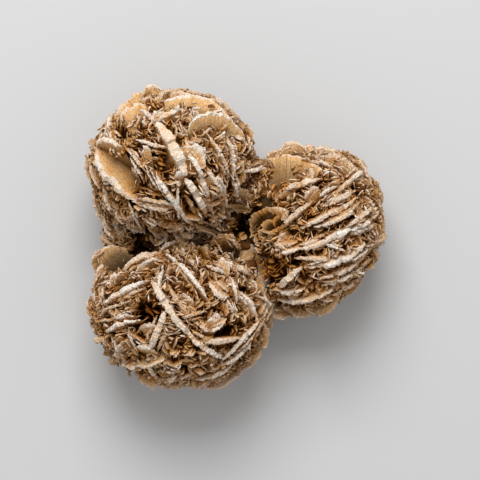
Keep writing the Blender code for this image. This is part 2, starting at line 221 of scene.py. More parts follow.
LOWER_LEDGES = laid(
    # the great ridge and the two arms it meets
    ((153, 279), (170, 307), (196, 341), 1.7, 1.3),
    ((192, 338), (208, 347), (225, 358), 1.3, 0.8),
    ((223, 360), (240, 340), (262, 317), 1.1, 0.8),
    ((165, 251), (188, 272), (208, 299), 1.1, 1.0),
    ((164, 263), (163, 277), (162, 292), 1.0, 0.8),
    # the flakes of the north-east
    ((207, 263), (216, 270), (228, 274), 1.0, 1.0),
    ((216, 268), (223, 259), (230, 272), 1.2, 1.0),
    ((209, 281), (216, 296), (229, 298), 1.2, 1.0),
    ((229, 272), (233, 286), (238, 302), 0.9, 0.8),
    ((240, 290), (250, 303), (256, 318), 0.9, 0.8),
    # the eastern rims
    ((257, 268), (268, 295), (259, 326), 1.0, 0.8),
    ((262, 250), (274, 285), (270, 330), 0.9, 0.2),
    ((222, 243), (240, 241), (252, 258), 0.8, 0.3, (-4, 18)),
    ((243, 242), (262, 249), (272, 268), 0.8, 0.2, (-12, 14)),
    # the north-west disc and the ridges below it
    ((160, 252), (170, 245), (184, 240), 0.8, 0.5),
    ((124, 246), (104, 247), (96, 262), 0.9, 0.1, (22, 12), 4.5),
    ((104, 261), (95, 276), (91, 295), 1.2, 0.6),
    ((131, 273), (146, 264), (163, 256), 0.8, 0.8),
    ((108, 285), (116, 274), (126, 268), 0.8, 0.6),
    ((104, 304), (125, 290), (150, 279), 1.2, 0.8),
    ((93, 318), (108, 309), (130, 300), 0.6, 0.1),
    ((95, 324), (112, 316), (136, 309), 0.5, 0.1),
    ((105, 331), (120, 323), (141, 318), 1.0, 0.8),
    # the thick spar, the south-west disc and the southern arcs
    ((167, 311), (160, 329), (151, 350), 1.6, 1.0),
    ((141, 328), (150, 322), (160, 326), 0.9, 0.8),
    ((137, 347), (146, 343), (157, 350), 1.0, 0.8),
    ((117, 364), (140, 366), (164, 358), 1.0, 0.8, (0, -18), 2.0),
    ((125, 340), (117, 350), (116, 363), 0.8, 0.4, (16, 0)),
    ((103, 336), (106, 346), (114, 356), 0.8, 0.2),
    ((196, 380), (217, 373), (236, 362), 1.0, 0.5),
    ((212, 372), (232, 359), (248, 346), 0.9, 0.5),
    ((165, 386), (195, 388), (228, 380), 0.8, 0.2),
    ((238, 374), (257, 362), (266, 343), 0.8, 0.2),
    ((146, 362), (155, 372), (160, 385), 0.8, 0.3),
    ((236, 362), (245, 350), (251, 340), 1.0, 0.5),
    ((228, 318), (220, 326), (211, 331), 0.8, 0.8),
    ((112, 319), (122, 314), (134, 313), 0.7, 0.4),
    # low down, along the outline
    ((133, 372), (149, 389), (172, 388), 0.9, 0.1),
    ((262, 320), (269, 334), (263, 350), 0.9, 0.1),
    ((198, 389), (224, 387), (246, 369), 0.9, 0.1),
    ((92, 322), (87, 306), (91, 288), 0.9, 0.1),
    ((92, 270), (91, 257), (102, 246), 0.9, 0.1),
)
RIGHT_LEDGES = laid(
    # the top shelf and the arcs behind it
    ((255, 171), (285, 157), (321, 168), 1.0, 0.8, (0, 20), 2.4),
    ((300, 158), (319, 163), (339, 173), 0.8, 0.5),
    ((290, 151), (318, 145), (352, 156), 0.8, 0.2),
    ((300, 152), (327, 150), (358, 171), 0.8, 0.5),
    ((318, 158), (340, 157), (364, 180), 0.8, 0.5),
    ((273, 152), (291, 141), (306, 149), 0.9, 0.3),
    ((350, 153), (363, 166), (373, 186), 0.8, 0.2),
    # the stack of parallel blades
    ((318, 196), (327, 191), (338, 186), 0.8, 0.5),
    ((338, 187), (348, 181), (358, 175), 0.9, 0.6),
    ((322, 207), (339, 199), (354, 189), 1.3, 0.8),
    ((299, 229), (328, 217), (358, 197), 1.2, 1.0),
    ((313, 228), (340, 219), (364, 201), 0.9, 0.8),
    ((345, 228), (360, 216), (373, 207), 1.0, 0.8),
    ((349, 231), (365, 224), (381, 211), 0.9, 0.7),
    ((325, 239), (340, 233), (353, 226), 1.5, 0.8),
    ((299, 250), (315, 246), (333, 239), 1.3, 0.8),
    ((273, 249), (285, 252), (300, 248), 1.0, 0.8),
    ((322, 244), (333, 248), (345, 251), 0.7, 0.5),
    ((304, 269), (337, 262), (366, 243), 1.4, 1.0),
    ((368, 247), (379, 241), (387, 235), 1.0, 0.4),
    ((376, 192), (384, 214), (385, 237), 0.8, 0.1),
    # the lower stack
    ((318, 281), (344, 271), (369, 255), 0.9, 0.5),
    ((276, 301), (308, 300), (342, 284), 1.0, 0.8),
    ((330, 297), (350, 286), (368, 269), 0.9, 0.3),
    ((273, 290), (288, 292), (304, 291), 1.0, 0.8),
    ((277, 312), (302, 317), (334, 303), 0.9, 0.4),
    ((322, 287), (345, 277), (368, 263), 0.8, 0.4),
    # low down, along the outline
    ((366, 251), (384, 243), (386, 228), 0.9, 0.1),
    ((264, 300), (272, 317), (292, 319), 0.9, 0.1),
    ((318, 318), (334, 309), (341, 293), 0.9, 0.1),
    ((258, 166), (266, 155), (280, 147), 0.9, 0.1),
)

# The finer ridges, which the solid leaves out
UPPER_FINE = laid(
    ((212, 178), (222, 181), (229, 208), 1.0, 0.4, (6, 0)),
    ((190, 91), (222, 103), (244, 125), 0.5, 0.3),
    ((119, 113), (124, 118), (122, 124), 0.7, 0.5),
    ((150, 88), (143, 93), (139, 100), 0.6, 0.4),
    ((91, 158), (92, 172), (99, 190), 0.7, 0.3),
    ((130, 205), (137, 217), (142, 232), 0.6, 0.3),
    ((186, 146), (199, 147), (208, 167), 0.6, 0.5),
    ((190, 142), (203, 150), (209, 160), 0.5, 0.5),
    ((132, 160), (139, 168), (145, 180), 0.7, 0.3),
    ((203, 138), (208, 133), (213, 129), 0.6, 0.5),
    ((216, 141), (222, 136), (229, 131), 0.6, 0.6),
    ((236, 137), (243, 143), (250, 148), 0.7, 0.5),
    ((240, 190), (250, 190), (258, 197), 0.6, 0.4),
    ((142, 152), (146, 148), (152, 151), 0.7, 0.6, (0, 6)),
    ((176, 178), (180, 173), (187, 176), 0.8, 1.2, (0, 6)),
)
LOWER_FINE = laid(
    ((101, 283), (104, 295), (105, 304), 0.7, 0.3),
    ((248, 262), (255, 270), (257, 280), 0.7, 0.3),
    ((251, 278), (255, 283), (258, 290), 0.7, 0.4),
    ((128, 330), (134, 338), (139, 350), 0.6, 0.4),
    ((150, 385), (170, 388), (200, 388), 0.5, 0.1),
    ((240, 372), (255, 362), (262, 345), 0.7, 0.1),
    ((197, 322), (205, 328), (214, 331), 0.7, 0.4),
    ((210, 316), (217, 312), (224, 322), 0.6, 0.5),
    ((182, 303), (188, 309), (196, 312), 0.5, 0.4),
    ((186, 318), (192, 314), (199, 309), 0.5, 0.4),
    ((180, 290), (189, 294), (197, 303), 0.5, 0.3),
)
RIGHT_FINE = laid(
    ((303, 198), (309, 190), (316, 186), 0.6, 0.3),
    ((325, 203), (333, 197), (341, 192), 0.7, 0.4),
    ((350, 234), (364, 231), (376, 225), 0.7, 0.3),
    ((274, 247), (277, 238), (283, 232), 0.7, 0.2),
    ((306, 266), (318, 262), (330, 257), 0.6, 0.4),
    ((366, 196), (374, 205), (378, 215), 0.7, 0.2),
    ((345, 262), (358, 256), (370, 250), 0.7, 0.4),
    ((350, 181), (358, 175), (364, 170), 1.1, 0.8),
    ((310, 168), (313, 178), (311, 186), 0.7, 0.0),
    # the brown shell beside the gap, and the thin rims inside it
    ((247, 235), (249, 215), (270, 206), 0.6, -0.8, (20, 12), 6.0),
    ((254, 238), (257, 224), (274, 214), 0.5, -1.0, (14, 10), 5.5),
    ((262, 241), (268, 230), (282, 224), 0.5, -1.0, (8, 8), 5.0),
    ((266, 208), (276, 206), (286, 210), 0.6, -0.6),
)

# The broad plates on the small round masses, in the order of the masses.
BETWEEN_FINE = (
    (Ledge((168, 246), (176, 240), (190, 238), 0.7, 0.3),),
    (),
    (Ledge((228, 192), (240, 190), (252, 196), 0.6, 0.3),),
    (),
    (
        Ledge((210, 243), (224, 231), (243, 245), 0.6, 0.3, (0, 6), 2.5),
        Ledge((214, 240), (219, 246), (222, 256), 0.5, 0.6, (0, 0), 2.0),
        Ledge((226, 236), (233, 241), (238, 250), 0.5, 0.6, (0, 0), 2.0),
    ),
)


def at_plan(place, height):
    x = (place[0] - PLAN_MIDDLE[0]) * PLAN_STEP
    y = (PLAN_MIDDLE[1] - place[1]) * PLAN_STEP
    return Vector((x, y, height))


def plan_of(point):
    return point[0] / PLAN_STEP + PLAN_MIDDLE[0], PLAN_MIDDLE[1] - point[1] / PLAN_STEP


def middle_of(rosette):
    return at_plan((rosette.u, rosette.v), rosette.height)


def turned(rosette, vector, turns=1.0):
    """A vector along the rosette's own axes, as one along X and Y, or back with turns -1."""
    turned_by = Matrix.Rotation(math.radians(rosette.turn) * turns, 3, "Z")
    return turned_by @ Vector(vector)


def on_top(rosette, place, proud):
    """The point above a plan place, that far out of the rosette's upper surface."""
    middle = middle_of(rosette)
    x, y, _ = turned(rosette, at_plan(place, rosette.height) - middle, -1.0)
    rx, ry, rz = rosette.radii
    height = rz * math.sqrt(max(0.0, 1.0 - (x / rx) ** 2 - (y / ry) ** 2))
    outward = Vector((x / rx**2, y / ry**2, height / rz**2)).normalized()
    return middle + turned(rosette, Vector((x, y, height)) + proud * outward)


def on_skin(rosette, direction, proud):
    """The point that far out of the rosette's surface in a direction from its middle."""
    own = turned(rosette, direction.normalized(), -1.0)
    reach = 1.0 / Vector(own[i] / rosette.radii[i] for i in range(3)).length
    return middle_of(rosette) + direction.normalized() * (reach + proud)


def buried(rosettes, point):
    """Whether a point is inside one of the rosettes."""
    for rosette in rosettes:
        own = turned(rosette, point - middle_of(rosette), -1.0)
        if Vector(own[i] / rosette.radii[i] for i in range(3)).length < 1.0:
            return True
    return False


def golden_directions(count):
    """Directions spread evenly over a sphere, from its top to its bottom."""
    turn = math.pi * (3.0 - math.sqrt(5.0))
    for i in range(count):
        z = 1.0 - 2.0 * (i + 0.5) / count
        around = math.sqrt(1.0 - z * z)
        yield Vector((around * math.cos(i * turn), around * math.sin(i * turn), z))


def hollows_at(points):
    """How deep the hollows go at points on top of a rosette."""
    u, v = plan_of(points.T)
    depth = np.zeros(len(points))
    for place, radius, deepest in HOLLOWS:
        away = np.hypot(u - place[0], v - place[1]) / radius
        depth = np.maximum(depth, deepest * MM * (1.0 - np.minimum(away, 1.0) ** 2))
    return depth


def is_bare(point, room=1.0):
    """Whether a point is over the bare face of a broad plate, at that share of its radius."""
    if point[2] < BARE_ABOVE:
        return False
    return any(math.dist(middle, plan_of(point)) < radius * room for middle, radius in BARE)


# Smooth random values, for wear, chips and lumps

NOISE_CELLS = 48
NOISE = np.random.RandomState(19).uniform(-1.0, 1.0, (NOISE_CELLS, NOISE_CELLS, NOISE_CELLS))


def lumps(points, size):
    """Random values from -1 to 1 that change smoothly over that size, at points of any shape."""
    scaled = points / size
    cell = np.floor(scaled).astype(int)
    part = scaled - cell
    part = part * part * (3.0 - 2.0 * part)
    total = np.zeros(points.shape[:-1])
    for corner in itertools.product((0, 1), repeat=3):
        weight = np.prod(np.where(corner, part, 1.0 - part), axis=-1)
        at = (cell + corner) % NOISE_CELLS
        total += weight * NOISE[at[..., 0], at[..., 1], at[..., 2]]
    return total


def layered(layers, *places):
    """Lumps of several heights and sizes on top of each other, each read at its own points."""
    return sum(height * lumps(points, size) for (height, size), points in zip(layers, places))


# Masters: each blade is shaped from one of these

MASTER_LENGTH = 14.0 * MM
MASTER_REACH = 6.0 * MM
MASTER_EDGE = 1.0 * MM
RIM_ROUNDING = 0.3 * MM
CLOSE = 0.01 * MM  # points nearer than this count as being at the same place

# A master: its points, with x and z from -1 to 1 and y from 0 at its foot to 1 at its rim, and its
# faces. Each is cut up by so many cuts along its length, its reach and its edge, and its rim is
# rounded in so many segments.
Master = namedtuple("Master", "points faces")
MASTERS = {
    "long": (59, 3, 1, 2),
    "medium": (33, 3, 1, 1),
    "short": (15, 2, 0, 1),
    "flake": (7, 1, 0, 0),
    "sliver": (2, 0, 0, 0),
}


def select_edges_along(mesh, axis):
    """Selects the edges that run along an axis of the mesh."""
    for edge in mesh.edges:
        first = mesh.vertices[edge.vertices[0]].co
        second = mesh.vertices[edge.vertices[1]].co
        run = second - first
        edge.select = abs(run[axis]) > 0.9 * run.length


def cut_along(made, axis, cuts):
    """Divides the edges along an axis, with that many cuts."""
    bpy.ops.object.mode_set(mode="EDIT")
    bpy.ops.mesh.select_mode(type="EDGE")
    bpy.ops.mesh.select_all(action="DESELECT")
    bpy.ops.object.mode_set(mode="OBJECT")
    select_edges_along(made.data, axis)
    bpy.ops.object.mode_set(mode="EDIT")
    bpy.ops.mesh.subdivide(number_cuts=cuts)
    bpy.ops.object.mode_set(mode="OBJECT")


def round_rim(made, width, segments):
    """Rounds the two long edges at the top of the blade."""
    bpy.ops.object.mode_set(mode="EDIT")
    bpy.ops.mesh.select_all(action="DESELECT")
    bpy.ops.object.mode_set(mode="OBJECT")
    top = MASTER_REACH / 2.0
    for edge in made.data.edges:
        ends = [made.data.vertices[i].co for i in edge.vertices]
        on_rim = all(abs(end.y - top) < CLOSE for end in ends)
        on_side = all(abs(abs(end.z) - MASTER_EDGE / 2.0) < CLOSE for end in ends)
        edge.select = on_rim and on_side and abs(ends[0].z - ends[1].z) < CLOSE
    bpy.ops.object.mode_set(mode="EDIT")
    bpy.ops.mesh.bevel(offset=width, segments=segments, affect="EDGES")
    bpy.ops.object.mode_set(mode="OBJECT")


def blade_master(name, along_cuts, reach_cuts, edge_cuts, rim_segments):
    """A straight blade at its own size, cut up finely enough to be shaped."""
    bpy.ops.object.select_all(action="DESELECT")
    bpy.ops.mesh.primitive_cube_add(size=1.0, location=(0.0, 0.0, 0.0))
    made = bpy.context.active_object
    made.name = name
    made.dimensions = (MASTER_LENGTH, MASTER_REACH, MASTER_EDGE)
    bpy.ops.object.transform_apply(location=True, rotation=True, scale=True)
    for axis, cuts in ((2, edge_cuts), (1, reach_cuts), (0, along_cuts)):
        if cuts:
            cut_along(made, axis, cuts)
    if rim_segments:
        round_rim(made, RIM_ROUNDING, rim_segments)
    mesh = made.data
    halves = (MASTER_LENGTH / 2.0, MASTER_REACH / 2.0, MASTER_EDGE / 2.0)
    points = np.array([vert.co for vert in mesh.vertices])
    points = np.clip(points / halves, -1.0, 1.0)
    points[:, 1] = (points[:, 1] + 1.0) / 2.0
    faces = [tuple(face.vertices) for face in mesh.polygons]
    bpy.data.objects.remove(made)
    return Master(points, faces)


def unit(vectors):
    return vectors / np.maximum(np.linalg.norm(vectors, axis=-1, keepdims=True), 1e-9)


def dot(first, second):
    return (first * second).sum(axis=-1, keepdims=True)


# The wear of the blades
JAGS = ((0.28 * MM, 1.3 * MM), (0.24 * MM, 0.5 * MM))  # the jags of a rim: depth and size
NOTCH_SIZE = 1.8 * MM
NOTCH_DEPTH = 1.0 * MM
NOTCH_FROM = 0.25  # lumps above this are notches
NOTCH_SHARPNESS = 5.0
RIM_LOSS = 0.15 * MM
END_EDGE = 0.16  # the edge at the ends of a rim, as a share of its middle's
BLUNTNESS = (2.2, 3.0)  # how bluntly a thin edge narrows to its ends, and how much more a thick one
SWELLS = ((0.28, 2.6 * MM), (0.16, 0.8 * MM))  # how a blade's thickness varies: share and size
PITS = ((0.16 * MM, 0.8 * MM), (0.09 * MM, 0.35 * MM))  # the pits of a face: depth and size
SWAYS = ((0.45 * MM, 7.0 * MM), (0.10 * MM, 1.8 * MM))  # how a blade sways: how far and size
SWAY_SPAN = 8.0 * MM  # blades shorter than this sway less
GRIT = 0.09 * MM  # how far single points stray
SEED_SPREAD = 40.0 * MM  # how far apart blades are in the random values


def shaped(master, blades, seed):
    """Every blade of one master: their points, how far each runs along its blade and lies from
    its rim, and a tint for each blade. Rows are blades, and columns are the master's points."""
    chance = np.random.RandomState(seed)
    x, y, z = (master.points[None, :, i, None] for i in range(3))
    start, crest, end, lean, hang = (
        np.array([tuple(getattr(blade, field)) for blade in blades])[:, None]
        for field in ("start", "crest", "end", "lean", "hang")
    )
    edge, reach, wear, lip = (
        np.array([getattr(blade, field) for blade in blades])[:, None, None]
        for field in ("edge", "reach", "wear", "lip")
    )
    chord = end - start
    span = np.linalg.norm(chord, axis=-1, keepdims=True)
    along = chord / span
    middle = (start + end) / 2.0
    lift = crest - middle
    up = unit(lift - dot(lift, along) * along)
    foot = middle - up * reach + lean + hang
    knee = middle + (hang - up * reach) * KNEE
    arc = np.maximum(0.0, np.cos(0.5 * math.pi * x)) ** RIM_FULLNESS
    spine = (1.0 - y) ** 2 * foot + 2.0 * y * (1.0 - y) * knee + y**2 * middle
    slope = (1.0 - y) * (knee - foot) + y * (middle - knee) + y * lift * arc
    slope = unit(slope)
    facing = unit(np.cross(along + 0.0 * slope, slope))

    run = x * span / 2.0
    offset = chance.uniform(0.0, SEED_SPREAD, (len(blades), 1, 3))
    wave = offset + run * np.array((1.0, 0.0, 0.0))
    back = wave[..., ::-1]
    notched = (lumps(wave[..., [1, 0, 2]], NOTCH_SIZE) - NOTCH_FROM) * NOTCH_SHARPNESS
    notch = np.clip(notched, 0.0, 1.0) * NOTCH_DEPTH
    fall = (layered(JAGS, wave, back) - notch - RIM_LOSS)[..., None] * wear
    blunt = BLUNTNESS[0] + BLUNTNESS[1] * np.clip(edge / MM - 1.0, 0.0, 1.0)
    ends = END_EDGE + (1.0 - END_EDGE) * (1.0 - np.abs(x) ** blunt)
    body = (1.0 - lip) + lip * y**2
    thick = ends * body * (1.0 + wear * layered(SWELLS, wave, wave)[..., None])
    taper = LEDGE_FOOT + (1.0 - LEDGE_FOOT) * y**FOOT_FULLNESS
    points = spine + along * run * taper + lift * arc * y**2
    points = points + slope * fall * y**4 + facing * z * edge / 2.0 * thick
    rough = layered(PITS, points + offset, points - offset)[..., None] * wear
    sway = layered(SWAYS, wave, back)[..., None] * np.minimum(1.0, span / SWAY_SPAN)
    points = points + facing * (rough + sway)
    points = points + chance.normal(0.0, GRIT, points.shape) * wear * y
    from_rim = (1.0 - y) * reach
    tint = chance.uniform(0.0, 1.0, len(blades))
    return points, run[..., 0], (from_rim + 0.0 * run)[..., 0], tint


def deep_in(rosettes, points):
    """How far the points of each blade are below the surface of the blade's own rosette."""
    middles = np.array([tuple(middle_of(rosette)) for rosette in rosettes])[:, None]
    radii = np.array([rosette.radii for rosette in rosettes])[:, None]
    turns = np.radians([rosette.turn for rosette in rosettes])[:, None]
    away = points - middles
    own_x = away[..., 0] * np.cos(turns) + away[..., 1] * np.sin(turns)
    own_y = away[..., 1] * np.cos(turns) - away[..., 0] * np.sin(turns)
    share = np.linalg.norm(np.stack([own_x, own_y, away[..., 2]], axis=-1) / radii, axis=-1)
    return (1.0 - share) * radii.mean(axis=-1)


SHADE_FROM = 1.4 * MM  # how far from its rim a shaded ledge has all its shade


class Heap:
    """Blades of one piece, gathered before they are shaped and joined in one mesh."""

    def __init__(self, name, kind):
        self.name = name
        self.kind = kind
        self.blades = {}

    def add(self, size, blade, rosette):
        self.blades.setdefault(size, []).append((blade, rosette))

    def piece(self, masters, material):
        """One object of all the blades, with what the material reads stored at its points."""
        kind = self.kind
        points = []
        faces = []
        crystal = []
        tints = []
        count = 0
        for size, gathered in self.blades.items():
            master = masters[size]
            blades, rosettes = zip(*gathered)
            placed, run, from_rim, tint = shaped(master, blades, len(self.name) + len(blades))
            shade = np.array([blade.shade for blade in blades])[:, None]
            # painted shade: a ledge's shade counts as extra distance from its rim, which the material
            # darkens
            darker = from_rim * kind.rim_scale / MM + shade * np.minimum(1.0, from_rim / SHADE_FROM)
            deep = (deep_in(rosettes, placed) - kind.deep_from * MM) * kind.deep_scale
            # blade bodies count as deeper away from their rims, so they turn browner: partly sand
            # inside, partly painted shade
            deep += from_rim * kind.body
            placed[..., 2] = np.maximum(placed[..., 2], 0.0)
            points.append(placed.reshape(-1, 3))
            stored = np.stack([run / MM, darker, deep / MM], axis=-1)
            crystal.append(stored.reshape(-1, 3))
            tint = kind.tints[0] + (kind.tints[1] - kind.tints[0]) * tint
            tints.append(np.repeat(tint, len(master.points)))
            for _ in blades:
                faces += [tuple(i + count for i in face) for face in master.faces]
                count += len(master.points)
        data = bpy.data.meshes.new(self.name)
        data.from_pydata(np.concatenate(points).tolist(), [], faces)
        stored = data.attributes.new("crystal", "FLOAT_VECTOR", "POINT")
        stored.data.foreach_set("vector", np.concatenate(crystal).ravel())
        stored = data.attributes.new("tint", "FLOAT", "POINT")
        stored.data.foreach_set("value", np.concatenate(tints))
        data.materials.append(material)
        data.update()
        made = bpy.data.objects.new(self.name, data)
        bpy.context.scene.collection.objects.link(made)
        bpy.ops.object.select_all(action="DESELECT")
        bpy.context.view_layer.objects.active = made
        made.select_set(True)
        bpy.ops.object.shade_smooth_by_angle(angle=math.radians(kind.angle))
        return made


# Where the blades go

TOP_ENDS = 0.8  # how far up a rosette its sides begin, as a share of its radius
TOP_BLEND = 0.5
UNDERSIDE_ENDS = 0.4  # and how far down they end
UNDERSIDE_BLEND = 0.3
HANG = 0.8  # how far the blades on the sides hang down, instead of running inward
HANG_OUT = 0.75
HANG_DOWN = 0.8
EDGE_SHARE = 1.05  # the widest place of a worn rim, as a share of its ledge's edge
SHELL_EDGE = 0.7 * MM  # leaning ledges with thinner edges than this have thin rims
LONG_SPAN = 9.0 * MM
MEDIUM_SPAN = 4.5 * MM
NEIGHBOURS = (1, 1, 2, 2)  # how many thinner blades lie against a ledge
NEIGHBOUR_SHARE = 0.5  # how many of the chips have one
NEIGHBOUR_EDGE = (0.35, 0.65)  # its edge, as shares of the other blade's
NEIGHBOUR_APART = (0.7, 1.6)  # how far it stands off, as shares of its own edge
NEIGHBOUR_LENGTH = (0.45, 0.9)
NEIGHBOUR_SLIDE = 0.2
NEIGHBOUR_DROP = (0.2 * MM, 1.1 * MM)
NEIGHBOUR_REACH = 0.8

# The stacks of small blades on a rosette: their kind and master, how many there are, and the least
# and most of their blades' length, of how deep their rims lie, and of their edges.
STACKS = (
    ("broad_blades", "flake", 240, (2.0 * MM, 4.0 * MM), (0.0, 1.7 * MM), (0.35 * MM, 0.55 * MM)),
    ("small_blades", "sliver", 1500, (1.5 * MM, 3.4 * MM), (0.0, 1.8 * MM), (0.14 * MM, 0.28 * MM)),
    ("deep_blades", "sliver", 800, (1.6 * MM, 3.4 * MM), (1.3 * MM, 3.4 * MM), (0.16 * MM, 0.3 * MM)),
)
RIGHT_SHARE = 0.92  # the right rosette has that share of these counts
MASS_SHARE = 0.4  # and so has each small round mass
RIM_ROOM = 0.6 * MM  # small blades nearer than this to the rim of a ledge are sunk beside it
RIM_STEPS = 13  # how many places along a rim are kept clear
BARE_ROOM = (0.6, 1.1)  # how far small blades stray over a bare place, as shares of its radius
PLACE_JITTER = 0.07
GRAIN_STRAY = 0.9  # how far the grain of a stack strays from its rosette's
TILT = 0.24  # how far the stacks tilt, in radians
FAN = 0.16  # how far each blade of a stack is fanned from the last
BLADE_TILT = 0.14  # how far single blades tilt
HEADING_STRAY = 0.36
PITCH = (0.4 * MM, 1.2 * MM)  # from one blade of a stack to the next
MOST_IN_STACK = 4
STACK_LENGTHS = (0.5, 1.2)  # the lengths of a stack's blades, as shares of its own
RISE = (0.12, 0.34)  # how far a small blade's rim arches up, as shares of its length
REACH = (0.25, 0.6)  # how deep it runs
SLIDE = 0.3  # how far it slides along its run
INTO_HOLLOW = (0.6, 1.0)  # how far down into a hollow a stack goes
SIDE_LIFT = 0.7  # how far the small blades on the sides turn upwards
MOST_PROUD = 0.5  # how far a small blade can stand out on a rosette's top, in millimetres
SIDE_SINK = 0.45  # and how much less on its sides
DEPTH_STRAY = (-0.2 * MM, 0.4 * MM)
LEAST_HEIGHT = 0.6 * MM  # no small blade is placed lower than this above the floor
SHADE_BETWEEN = 2.0  # the shade of the small blades between the rosettes
CLUMP = 3.8 * MM  # the size of the clumps that the small blades stand in
CLUMP_DEPTH = 1.2 * MM  # how much deeper or higher they lie between or on the clumps


def rims_on(rosette, ledges):
    """The three points of the rim of each listed ledge, with its edge, lean and shade."""
    for ledge in ledges:
        sink = min(0.0, ledge.proud * MM) - LEDGE_SINK
        points = (
            on_top(rosette, ledge.start, sink),
            on_top(rosette, ledge.crest, ledge.proud * MM),
            on_top(rosette, ledge.end, sink),
        )
        yield points, ledge.edge * MM, ledge.lean, ledge.shade


def chips_on(rosette, rims, others, chance):
    """Short ledges where there is room between the listed rims, stacked along the grain."""
    mean_radius = sum(rosette.radii) / 3.0
    for direction in golden_directions(rosette.chips):
        place = on_skin(rosette, direction, 0.0)
        sway = Vector(chance.uniform(-CHIP_SWAY, CHIP_SWAY) for _ in range(3))
        turn = chance.uniform(*CHIP_SPAN) / 2.0 / mean_radius
        proud = chance.uniform(*CHIP_PROUD)
        edge = chance.uniform(*CHIP_EDGE)
        crowded = any((place - point).length < CHIP_ROOM for rim in rims for point in rim[0])
        if crowded or buried(others, place):
            continue
        grain = (Vector(rosette.grain) + sway).normalized()
        run = grain.cross(direction).normalized()
        start = on_skin(rosette, direction * math.cos(turn) - run * math.sin(turn), -LEDGE_SINK)
        end = on_skin(rosette, direction * math.cos(turn) + run * math.sin(turn), -LEDGE_SINK)
        middle = (start + end) / 2.0
        up = (direction - STACKING * direction.dot(grain) * grain).normalized()
        crest = middle + up * (on_skin(rosette, direction, proud) - middle).length
        yield (start, crest, end), edge, (0.0, 0.0), 0.0


def steepness(outward):
    """1 on the upright sides of a rosette, and 0 on its top and its underside."""
    falling = min(1.0, max(0.0, (TOP_ENDS - outward.z) / TOP_BLEND))
    return falling * min(1.0, max(0.0, (outward.z + UNDERSIDE_ENDS) / UNDERSIDE_BLEND))


def lie_of(start, crest, end):
    """How a rim lies: along its chord, the chord's middle, from there to its crest, and up."""
    along = (end - start).normalized()
    middle = (start + end) / 2.0
    lift = crest - middle
    return along, middle, lift, (lift - lift.dot(along) * along).normalized()


def blade_from(rosette, rim, edge, lean, shade):
    """A ledge as a blade, no deeper than its rosette can hide."""
    shift = Vector((lean[0] * PLAN_STEP, -lean[1] * PLAN_STEP, 0.0))
    reach = min(LEDGE_REACH, MOST_REACH * sum(rosette.radii) / 3.0)
    if shift.length > 0.0:
        shape = (shift, Vector(), RIM_MOST_WORN, LEANING_LIP, shade)
        return Blade(*rim, edge * EDGE_SHARE, reach, *shape)
    along, _, _, up = lie_of(*rim)
    steep = steepness((rim[1] - middle_of(rosette)).normalized())
    hang = (HANG_OUT * up - Vector((0.0, 0.0, HANG_DOWN))) * reach * HANG * steep
    hang -= hang.dot(along) * along
    return Blade(*rim, edge * EDGE_SHARE, reach, shift, hang, RIM_MOST_WORN, UPRIGHT_LIP, shade)


def beside(blade, chance):
    """A thinner, lower and shorter blade that lies against another."""
    along, middle, lift, up = lie_of(blade.start, blade.crest, blade.end)
    edge = blade.edge * chance.uniform(*NEIGHBOUR_EDGE)
    apart = blade.edge / 2.0 + edge * chance.uniform(*NEIGHBOUR_APART)
    side = along.cross(up) * chance.choice((-1.0, 1.0)) * apart
    length = chance.uniform(*NEIGHBOUR_LENGTH)
    stray = chance.uniform(-NEIGHBOUR_SLIDE, NEIGHBOUR_SLIDE)
    slide = along * (blade.end - blade.start).length * stray
    lower = up * chance.uniform(*NEIGHBOUR_DROP)
    start = middle + (blade.start - middle) * length + slide + side - lower
    end = middle + (blade.end - middle) * length + slide + side - lower
    crest = middle + lift * (0.4 + 0.6 * length) + slide + side - lower
    reach = blade.reach * NEIGHBOUR_REACH
    return blade._replace(start=start, crest=crest, end=end, edge=edge, reach=reach)


def rim_places(rims):
    """Points along the rims of ledges, with half the width of the edge there, as rows."""
    rows = []
    for (start, crest, end), edge, _, _ in rims:
        middle = (start + end) / 2.0
        for x in np.linspace(-1.0, 1.0, RIM_STEPS):
            arc = max(0.0, math.cos(0.5 * math.pi * x)) ** RIM_FULLNESS
            place = middle + (end - start) * x / 2.0 + (crest - middle) * arc
            rows.append((*place, edge / 2.0))
    return np.array(rows).reshape(-1, 4)


def near_rim(rims, point):
    """Whether a point is too near to the rim of a ledge for a small blade to stand out there."""
    if not len(rims):
        return False
    away = np.linalg.norm(rims[:, :3] - point, axis=1) - rims[:, 3]
    return away.min() < RIM_ROOM


